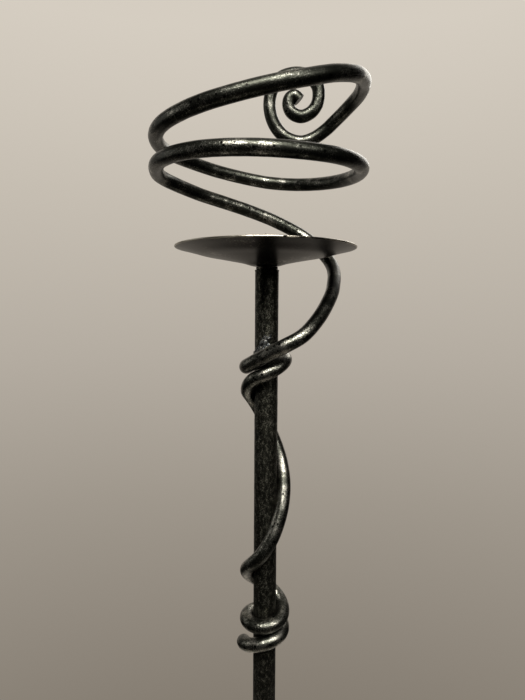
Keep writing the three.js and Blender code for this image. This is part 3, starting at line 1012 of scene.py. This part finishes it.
    def drop(self) -> list[Vector]:
        """The points from the cage down past the rim to the upper knot."""
        reach = PAN_RADIUS + self.rim_gap + self.radius - self.wrap_radius
        return [
            around((turn, self.wrap_radius + spread * reach, height))
            for turn, spread, height in self.drop_route
        ]

    def lower_weld_line(self) -> list[Vector]:
        """The middle of the bead between the stem and the underside of the lower knot."""
        reach = TUBE_RADIUS + GAP + self.weld_radius
        apart = self.radius + GAP + self.weld_radius
        first, last = self.lower_weld_turns
        places = []
        for turn, radius, height in self.knot_stations():
            if first <= turn <= last:
                climb = math.sqrt(max(apart**2 - (radius - reach) ** 2, 0.0))
                fall = climb / math.cos(math.radians(self.weld_slant))
                places.append(around((turn, reach, height - fall)))
        return places

    def build(self) -> None:
        """Builds the bar and its two welds."""
        knots = [around(station) for station in self.knot_stations()]
        points = [*self.scroll(), *self.cage(), *self.drop(), *knots]
        section = Sweep(self.radius, 28, end_round=1.4, end_size=0.72)
        wear = Wear(0.09, 9.0, 1.0)
        places = spaced(points, self.step)
        fit(swept("coiled_bar", places, section, wear, self.palette.bar), Slot.BAR, "cage_bar")
        self.build_upper_weld()
        section = Sweep(self.weld_radius, 20, self.weld_radius, 0.2, 1.5, 0.06)
        wear = Wear(0.5, 2.5, 3.0)
        places = spaced(self.lower_weld_line(), 0.3)
        bead = swept("lower_knot_bead", places, section, wear, self.palette.weld)
        fit(bead, Slot.WELD, "lower_knot_weld")

    def build_upper_weld(self) -> None:
        """Builds the weld that fills the crevice above the upper knot, its runs melted into one."""
        runs = []
        for number, (radius, stations) in enumerate(self.upper_weld_runs):
            places = spaced([around(station) for station in stations], 0.4)
            section = Sweep(radius, 24, radius, 0.15, 2.1, 0.1)
            wear = Wear(0.7, 2.2, 12.0 + number)
            runs.append(swept(f"weld_run_{number}", places, section, wear, self.palette.weld))
        lump = melted("upper_knot_lump", runs, 0.35)
        wear = Wear(0.5, 1.3, 2.0, hard_edge=80.0)
        piece = grow("upper_knot_lump", lump, worn_tree(), wear.values(self.palette.weld, 0.0))
        fit(piece, Slot.WELD, "upper_knot_weld")


# ---- The candle's place ----


@dataclass
class CandleSeat:
    """The drip pan, its spike, and the turned shoulder that both screw into."""

    palette: Palette
    shift: float = -0.9
    pan_depth: float = 11.1
    pan_thickness: float = 1.2
    pan_flat: float = 8.0
    # The pan's shallow curve beyond its flat middle, as shares of its radius and of its depth.
    pan_curve: tuple[tuple[float, float], ...] = (
        (0.25, 0.84), (0.4, 0.68), (0.55, 0.53), (0.7, 0.385), (0.85, 0.175),
    )  # fmt: skip
    neck_radius: float = 7.1
    neck_height: float = 2.3
    spike_rise: float = 9.5
    spike_radius: float = 2.3
    point_radius: float = 0.25
    point_length: float = 0.15
    collar_radius: float = 6.5
    collar_height: float = 2.4
    shank_radius: float = 3.0
    shank_length: float = 18.0
    plug_length: float = 24.0
    plug_radius: float = 5.9

    @property
    def floor(self) -> float:
        """The height of the middle of the sheet at the pan's flat."""
        return RIM_HEIGHT - self.pan_depth

    def build(self) -> None:
        """Builds the three pieces."""
        self.build_pan()
        self.build_spike()
        self.build_neck()

    def build_pan(self) -> None:
        """Builds the pan: one smooth pressed sheet with a half-round rim and a hole."""
        half = self.pan_thickness / 2
        edge = PAN_RADIUS - half
        knees = [(self.shank_radius + GAP, 1.0), (self.pan_flat, 1.0)]
        knees += [(share * PAN_RADIUS, depth) for share, depth in self.pan_curve]
        knees.append((edge, 0.0))
        line = [Vector((r, RIM_HEIGHT - depth * self.pan_depth, 0.0)) for r, depth in knees]
        middle = spaced(line, 1.0)
        under = [(place.x, place.y - half) for place in middle]
        over = [(place.x, place.y + half) for place in reversed(middle)]
        angles = [math.radians(angle) for angle in range(-72, 73, 18)]
        rim = [(edge + half * math.cos(a), RIM_HEIGHT + half * math.sin(a)) for a in angles]
        wear = Wear(0.12, 26.0, 4.0, hard_edge=50.0)
        outline = [*under, *rim, *over]
        piece = turned("drip_dish", outline, 144, wear, self.palette.sheet, self.shift)
        fit(piece, Slot.PAN, "drip_pan")

    def build_spike(self) -> None:
        """Builds the spike: a slender point on a turned collar, over its screwed shank."""
        seat = self.floor + self.pan_thickness / 2 + GAP
        collar_top = seat + self.collar_height
        tip = RIM_HEIGHT + self.spike_rise
        bottom = seat - self.shank_length
        profile = [
            (0.0, bottom),
            (self.shank_radius, bottom),
            (self.shank_radius, seat),
            (self.collar_radius, seat),
            (self.collar_radius, collar_top),
            (self.spike_radius, collar_top),
            (self.point_radius, tip - self.point_length),
            (0.0, tip),
        ]
        outline = divided(rounded(profile, 0.4), 1.0, closed=False)
        wear = Wear(0.04, 3.0, 5.0)
        piece = turned("candle_point", outline, 48, wear, self.palette.neck, self.shift)
        fit(piece, Slot.PAN, "candle_spike")

    def build_neck(self) -> None:
        """Builds the shoulder between the stem and the pan, over the plug in the stem's end."""
        pan_bottom = self.floor - self.pan_thickness / 2
        stem_top = pan_bottom - self.neck_height
        under, top = stem_top + GAP, pan_bottom - GAP
        bottom = stem_top - self.plug_length
        bore = self.shank_radius + GAP + abs(self.shift)
        profile = [
            (bore, bottom),
            (self.plug_radius, bottom),
            (self.plug_radius, under),
            (self.neck_radius, under),
            (self.neck_radius, top),
            (bore, top),
        ]
        wear = Wear(0.12, 2.2, 6.0)
        piece = turned("turned_neck", rounded(profile, 0.35), 48, wear, self.palette.neck)
        fit(piece, Slot.NECK, "pan_plug")


# ---- The stem ----


@dataclass
class Stem:
    """Two lengths of tube, screwed together end to end over hidden plugs and a stud."""

    palette: Palette
    wall: float = 1.5
    joint_height: float = 540.0
    foot_height: float = 60.0
    top: float = 1071.0
    lower_ease: tuple[float, float] = (0.1, 0.2)  # in and up, at a tube's lower edge
    burr: float = 0.22
    burr_reach: float = 1.3  # from the upper end down to where the burr starts
    burr_face: float = 0.35  # from the upper end down to where it is widest
    burr_ease: float = 0.05
    hidden: tuple[str, ...] = (
        "upper_joint_plug", "lower_joint_plug", "joint_stud", "stem_foot_plug",
    )  # fmt: skip

    def build(self, frame: dict[str, Any]) -> None:
        """Builds both tubes and dresses what is inside them."""
        low, high = self.joint_height - GAP / 2, self.joint_height + GAP / 2
        self.build_tube("upper_tube", high, self.top, 7.0, "upper_stem")
        self.build_tube("lower_tube", self.foot_height, low, 8.0, "lower_stem")
        for node in self.hidden:
            dress(frame["nodes"][node], self.palette.zinc)

    def build_tube(self, name: str, bottom: float, top: float, seed: float, node: str) -> None:
        """Builds one tube, eased at its lower end, with its saw's slight burr at the upper one.

        Args:
            name: The piece's name.
            bottom: The height of its lower end.
            top: The height of its upper end.
            seed: Picks its dents.
            node: The solid that it stands for.
        """
        bore = TUBE_RADIUS - self.wall
        lip = TUBE_RADIUS + self.burr
        inset, rise = self.lower_ease
        outline = [
            (bore, bottom),
            (TUBE_RADIUS - inset, bottom),
            (TUBE_RADIUS, bottom + rise),
            (TUBE_RADIUS, top - self.burr_reach),
            (lip, top - self.burr_face),
            (lip - self.burr_ease, top),
            (bore, top),
        ]
        wear = Wear(0.12, 7.0, seed)
        fit(turned(name, divided(outline, 2.5), 40, wear, self.palette.tube), Slot.STEM, node)


# ---- The base ----


@dataclass
class Base:
    """The hub that the stem stands in, and its four scrolled legs on felted discs."""

    palette: Palette
    hub_radius: float = 11.0
    hub_bottom: float = 60.0
    hub_height: float = 110.0
    plate_thickness: float = 4.0
    bolt_width: float = 13.0
    bolt_height: float = 5.3
    bolt_radius: float = 4.0
    thread_reach: float = 20.0
    washer_radius: float = 9.0
    washer_thickness: float = 1.6
    leg_count: int = 4
    leg_radius: float = 6.0
    leg_bend: float = 55.0
    leg_slope: float = 28.0
    leg_reach: float = 140.0
    leg_upright: float = 50.0
    foot_scroll: tuple[float, ...] = (22, 20, 17.5, 15, 12.5, 10.5, 9)
    foot_sweep: float = 405.0
    top_scroll: tuple[float, ...] = (17, 15, 12.5, 10)
    top_sweep: float = 230.0
    pen_step: float = 7.0
    weld_radius: float = 1.6
    weld_length: float = 34.0
    disc_radius: float = 12.0
    disc_thickness: float = 3.7
    felt_radius: float = 11.0
    felt_thickness: float = 2.0

    @property
    def leg_line(self) -> float:
        """From the stem's axis to the middle of a leg's upright."""
        return self.hub_radius + GAP + self.leg_radius

    def penned(self, start: Vector, heading: float, strokes: list[Any]) -> list[Vector]:
        """A path drawn in the XZ plane by strokes of a length and the angle that they turn."""
        places, at, angle = [], start.copy(), heading
        for length, sweep in strokes:
            count = int(length / self.pen_step + 0.5)
            for _ in range(count):
                angle += sweep / count / 2
                at += Vector((math.cos(angle), 0.0, math.sin(angle))) * (length / count)
                angle += sweep / count / 2
                places.append(at.copy())
        return places

    def scroll_strokes(self, radii: Sequence[float], sweep: float) -> list[tuple[float, float]]:
        """The strokes of one scroll, each radius turning an equal share of the sweep."""
        share = math.radians(sweep) / len(radii)
        return [(radius * abs(share), share) for radius in radii]

    def leg_route(self) -> tuple[list[Vector], float, float]:
        """One leg's points in the XZ plane, the height of its bend, and where its foot stands."""
        slope = math.radians(self.leg_slope)
        bend = math.pi / 2 - slope
        lowest = self.felt_thickness + GAP + self.disc_thickness + GAP + self.leg_radius
        foot_radius = self.foot_scroll[0]
        foot_start = lowest + foot_radius * (1 - math.cos(slope))
        bend_end = self.leg_line + self.leg_bend * (1 - math.cos(bend))
        straight = (self.leg_reach - bend_end) / math.cos(slope)
        bend_top = foot_start + straight * math.sin(slope) + self.leg_bend * math.sin(bend)
        top = Vector((self.leg_line, 0.0, bend_top + self.leg_upright))
        up = self.penned(top, math.pi / 2, self.scroll_strokes(self.top_scroll, -self.top_sweep))
        strokes = [(self.leg_upright, 0.0), (self.leg_bend * bend, bend), (straight, 0.0)]
        strokes += self.scroll_strokes(self.foot_scroll, self.foot_sweep)
        down = self.penned(top, -math.pi / 2, strokes)
        foot = self.leg_reach + foot_radius * math.sin(slope)
        return [*reversed(up), top, *down], bend_top, foot

    def build(self) -> None:
        """Builds the hub, what holds the stem in it, and the four legs."""
        self.build_hub()
        self.build_bolt()
        points, bend_top, foot = self.leg_route()
        for index in range(self.leg_count):
            bearing = (index + 0.5) * 360 / self.leg_count
            self.build_leg(index + 1, bearing, points)
            self.build_leg_welds(index + 1, bearing, bend_top)
            self.build_foot(index + 1, bearing, foot)

    def build_hub(self) -> None:
        """Builds the sleeve and the plate across its lower end."""
        top = self.hub_bottom + self.hub_height
        sleeve = ring(TUBE_RADIUS + GAP, self.hub_radius, self.hub_bottom, top)
        outline, wear = divided(rounded(sleeve, 0.6), 2.5), Wear(0.12, 7.0, 9.0)
        fit(turned("hub_sleeve", outline, 48, wear, self.palette.tube), Slot.STEM, "base_hub")
        top = self.hub_bottom - GAP
        plate = ring(self.bolt_radius + GAP, self.hub_radius, top - self.plate_thickness, top)
        outline, wear = rounded(plate, 0.5), Wear(0.06, 5.0, 10.0)
        fit(turned("hub_end_plate", outline, 48, wear, self.palette.tube), Slot.STEM, "hub_plate")

    def build_bolt(self) -> None:
        """Builds the washer and the hexagon bolt that pull the stem down into the hub."""
        top = self.hub_bottom - GAP - self.plate_thickness - GAP
        bottom = top - self.washer_thickness
        wear, zinc = Wear(0.02, 3.0, 11.0), self.palette.zinc
        outline = rounded(ring(self.bolt_radius + GAP, self.washer_radius, bottom, top), 0.3)
        fit(turned("bolt_washer", outline, 48, wear, zinc), Slot.ZINC, "base_washer")
        mesh = self.hexagon_bolt(bottom - GAP, self.hub_bottom + self.thread_reach)
        bolt = grow("hexagon_bolt", mesh, worn_tree(), wear.values(zinc, 0.0))
        fit(bolt, Slot.ZINC, "base_bolt")

    def hexagon_bolt(self, head_top: float, shank_top: float) -> bpy.types.Mesh:
        """A bolt whose hexagon head is turned down at its corners.

        Args:
            head_top: The height of the head's upper face.
            shank_top: The height of the shank's end.

        Returns:
            The mesh.
        """
        chamfer, face_share, corner_drop = 0.8, 0.92, 1.1
        past_shank = 1.1  # shank radii from the axis, beyond which a point belongs to the head
        shank, bottom = self.bolt_radius, head_top - self.bolt_height
        flat = self.bolt_width / 2
        corner = flat / math.cos(math.pi / 6)
        outline = [(0.0, bottom), (flat * face_share, bottom)]
        for share in (0, 0.5, 1):
            outline.append((flat + (corner - flat) * share, bottom + share * corner_drop))
        outline += [(corner, head_top), (shank, head_top), (shank, shank_top - chamfer)]
        outline += [(shank - chamfer, shank_top), (0.0, shank_top)]
        mesh = turned_mesh("hexagon_bolt", outline, 96, 0.0)
        for vertex in mesh.vertices:
            out = Vector((vertex.co.x, vertex.co.y))
            if out.length > shank * METRES * past_shank:
                off = (math.atan2(out.y, out.x) + math.pi / 6) % (math.pi / 3) - math.pi / 6
                reach = min(out.length, flat * METRES / math.cos(off))
                vertex.co.x, vertex.co.y = out.normalized() * reach
        return mesh

    def build_leg(self, number: int, bearing: float, points: list[Vector]) -> None:
        """Builds one leg at a bearing in degrees."""
        section = Sweep(self.leg_radius, 28, end_round=1.6, end_size=0.72)
        wear, finish = Wear(0.1, 10.0, 20.0 + number), self.palette.bar
        places = spaced(points, 1.5)
        leg = swept(f"scrolled_leg_{number}", places, section, wear, finish, bearing)
        fit(leg, Slot.BAR, f"leg_{number}")

    def build_leg_welds(self, number: int, bearing: float, bend_top: float) -> None:
        """Builds the rippled beads on both sides of one leg's upright."""
        from_hub = self.hub_radius + GAP + self.weld_radius
        from_leg = self.leg_radius + GAP + self.weld_radius
        out = (from_hub**2 - from_leg**2 + self.leg_line**2) / (2 * self.leg_line)
        across = math.sqrt(from_hub**2 - out**2)
        middle = bend_top + self.leg_upright / 2
        reach = self.weld_length / 2 + self.weld_radius
        section = Sweep(self.weld_radius, 16, self.weld_radius, 0.2, 1.9, 0.08)
        for side, word in ((1, "left"), (-1, "right")):
            ends = [Vector((out, side * across, middle + end * reach)) for end in (-1, 1)]
            places, wear = spaced(ends, 0.35), Wear(0.25, 3.0, 30.0 + number + 0.5 * side)
            name = f"leg_bead_{number}_{word}"
            bead = swept(name, places, section, wear, self.palette.weld, bearing)
            fit(bead, Slot.WELD, f"leg_weld_{number}_{word}")

    def build_foot(self, number: int, bearing: float, foot: float) -> None:
        """Builds the disc under one leg's scroll, and its felt pad."""
        bottom = self.felt_thickness + GAP
        disc = rounded(ring(0.0, self.disc_radius, bottom, bottom + self.disc_thickness), 0.7)
        felt = rounded(ring(0.0, self.felt_radius, 0.0, self.felt_thickness), 0.5)
        plate_wear, pad_wear = Wear(0.08, 5.0, 40.0 + number), Wear(0.18, 1.1, 50.0 + number, 80.0)
        for name, profile, wear, finish, slot, node in (
            ("foot_plate", disc, plate_wear, self.palette.tube, Slot.STEM, "foot_disc"),
            ("felt_pad", felt, pad_wear, self.palette.felt, Slot.FELT, "foot_felt"),
        ):
            outline = divided(profile, 0.8, closed=False)
            piece = turned(f"{name}_{number}", outline, 56, wear, finish, foot, bearing)
            fit(piece, slot, f"{node}_{number}")


# ---- Camera, light and floor ----


@dataclass(frozen=True)
class Lamp:
    """One soft oblong lamp, in metres, watts and degrees."""

    name: str
    place: Station
    aim: Station
    size: tuple[float, float]
    power: float
    spread: float = 180.0
    colour: str = "#fffbf4"

    def hang(self) -> None:
        """Hangs the lamp in its place, turned to what it points at."""
        data = bpy.data.lights.new(self.name, "AREA")
        data.shape = "RECTANGLE"
        data.size, data.size_y = self.size
        data.energy = self.power
        data.spread = math.radians(self.spread)
        data.color = linear(self.colour)[:3]
        way = Vector(self.aim) - Vector(self.place)
        turn = way.to_track_quat("-Z", "Y").to_matrix().to_4x4()
        linked(self.name, data).matrix_world = Matrix.Translation(Vector(self.place)) @ turn


@dataclass
class Studio:
    """The camera at the photograph's place, soft lamps, a plain backdrop and a pale floor."""

    eye: Station = (-2.56, -345.3, 1045.73)
    pitch: float = -4.41
    roll: float = 0.36
    lens: float = 27.22
    # The backdrop's colours from straight below the camera's view to above it; the darker lower
    # ones are painted shade, as low on a wall lit from above.
    wall: tuple[tuple[float, str], ...] = (
        (0.0, "#857d72"), (0.26, "#9e968b"), (0.5, "#b4aca1"), (0.77, "#c6beb2"), (1.0, "#d5cdc1"),
    )  # fmt: skip
    wall_from: float = -0.62  # the upward part of the view's direction at the first colour
    wall_to: float = 0.45
    light_colour: str = "#f3ece3"
    light_strength: float = 0.35
    floor_colour: str = "#c6c1b9"
    floor_radius: float = 1000.0
    floor_fade: tuple[float, float] = (0.55, 0.98)  # the shares of its radius where it fades out
    card_colour: str = "#2b2825"
    card_radius: float = 2600.0
    card_height: float = 1000.0
    card_step: int = 15
    card_sweep: float = 135.0  # how far round from the front the card reaches, in degrees
    card_foot: float = -30.0  # the elevation under which it goes all the way round
    lamps: tuple[Lamp, ...] = (
        Lamp("key", (0.0, -1.0, 2.12), (0.0, 0.0, 1.1), (1.15, 0.75), 12.5, 60.0),
        Lamp("right", (0.89, -0.98, 1.7), (0.0, 0.0, 1.0), (0.4, 0.4), 7.0),
        Lamp("side", (-1.7, 0.2, 1.3), (0.0, 0.0, 0.6), (1.2, 1.2), 4.0),
        Lamp("back", (0.9, 1.6, 2.1), (0.0, 0.0, 0.6), (1.0, 1.0), 10.0),
    )

    def build(self) -> None:
        """Builds everything round the stand."""
        self.place_camera()
        self.paint_world()
        self.lay_floor()
        self.hang_card()
        for lamp in self.lamps:
            lamp.hang()
        bpy.context.scene.view_settings.view_transform = "Standard"

    def place_camera(self) -> None:
        """Makes the scene's camera, tipped down a little and turned by its slight roll."""
        data = bpy.data.cameras.new("camera")
        data.lens = self.lens
        camera = linked("camera", data)
        tip = Matrix.Rotation(math.radians(90 + self.pitch), 4, "X")
        turn = Matrix.Rotation(math.radians(self.roll), 4, "Z")
        camera.matrix_world = Matrix.Translation(Vector(self.eye) * METRES) @ tip @ turn
        bpy.context.scene.camera = camera

    def paint_world(self) -> None:
        """Shows a plain warm backdrop, darker below in painted shade, and lights the stand softly
        all round.
        """
        world = bpy.data.worlds.new("backdrop")
        bpy.context.scene.world = world
        world.use_nodes = True
        world.node_tree.nodes.clear()
        add = functools.partial(add_node, world.node_tree)
        way = add("ShaderNodeTexCoord").outputs["Generated"]
        height = add("ShaderNodeSeparateXYZ", {0: way}).outputs["Z"]
        reach = {"From Min": self.wall_from, "From Max": self.wall_to}
        ramp = add("ShaderNodeValToRGB", {"Fac": add(RANGE, {"Value": height, **reach})})
        paint_ramp(ramp.color_ramp, self.wall)
        shown = add("ShaderNodeBackground", {"Color": ramp})
        soft = {"Color": linear(self.light_colour), "Strength": self.light_strength}
        light = add("ShaderNodeBackground", soft)
        ray = add("ShaderNodeLightPath").outputs
        seen = ray["Is Camera Ray"]
        for kind in ("Is Glossy Ray", "Is Transmission Ray"):
            seen = add(MATH, {0: seen, 1: ray[kind]}, operation="MAXIMUM")
        mixed = add("ShaderNodeMixShader", {0: seen, 1: light, 2: shown})
        add("ShaderNodeOutputWorld", {"Surface": mixed})

    def hang_card(self) -> None:
        """Hangs a dark curved card in front of the stand and low all round, as for shiny metal.

        The metal mirrors it; the camera doesn't see it.
        """
        sides, ups = range(-180, 181, self.card_step), range(-60, 76, self.card_step)
        count = len(sides)
        places, faces = [], []
        for row, up in enumerate(ups):
            out, rise = math.cos(math.radians(up)), math.sin(math.radians(up))
            for column, side in enumerate(sides):
                x, y = math.sin(math.radians(side)) * out, -math.cos(math.radians(side)) * out
                place = Vector((x, y, rise)) * self.card_radius
                places.append(tuple((place + Vector((0.0, 0.0, self.card_height))) * METRES))
                inside = row < len(ups) - 1 and column < count - 1
                turned_away = abs(side + self.card_step / 2) >= self.card_sweep
                if inside and (up < self.card_foot or not turned_away):
                    low = row * count + column
                    faces.append((low, low + 1, low + 1 + count, low + count))
        mesh = bpy.data.meshes.new("dark_card")
        mesh.from_pydata(places, [], faces)
        material = bpy.data.materials.new("Dark studio card")
        material.use_nodes = True
        shader = material.node_tree.nodes["Principled BSDF"]
        shader.inputs["Base Color"].default_value = linear(self.card_colour)
        shader.inputs["Roughness"].default_value = 1.0
        mesh.materials.append(material)
        card = linked("dark_card", mesh)
        card.visible_camera = False

    def lay_floor(self) -> None:
        """Lays a round pale floor that fades into the backdrop at its edge."""
        radius = self.floor_radius * METRES
        disc = bmesh.new()
        bmesh.ops.create_circle(disc, cap_ends=True, segments=96, radius=radius)
        mesh = bpy.data.meshes.new("floor")
        disc.to_mesh(mesh)
        disc.free()
        material, add, place = start_material("Pale painted floor")
        away = add("ShaderNodeVectorMath", {0: place}, operation="LENGTH").outputs["Value"]
        start, end = (share * radius for share in self.floor_fade)
        reach = {"Value": away, "From Min": start, "From Max": end}
        fade = add(RANGE, reach, interpolation_type="SMOOTHSTEP")
        matt = {"Base Color": linear(self.floor_colour), "Roughness": 0.85}
        paint = add("ShaderNodeBsdfPrincipled", matt)
        clear = add("ShaderNodeBsdfTransparent")
        mixed = add("ShaderNodeMixShader", {0: fade, 1: paint, 2: clear})
        add("ShaderNodeOutputMaterial", {"Surface": mixed})
        mesh.materials.append(material)
        floor = linked("floor", mesh)


def main() -> None:
    """Builds the stand round its solids, piece by piece."""
    logging.basicConfig(level=logging.INFO, format="%(message)s")
    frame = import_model()
    palette = Palette()
    Studio().build()
    CageBar(palette).build()
    CandleSeat(palette).build()
    Stem(palette).build(frame)
    Base(palette).build()


if __name__ == "__main__":
    main()
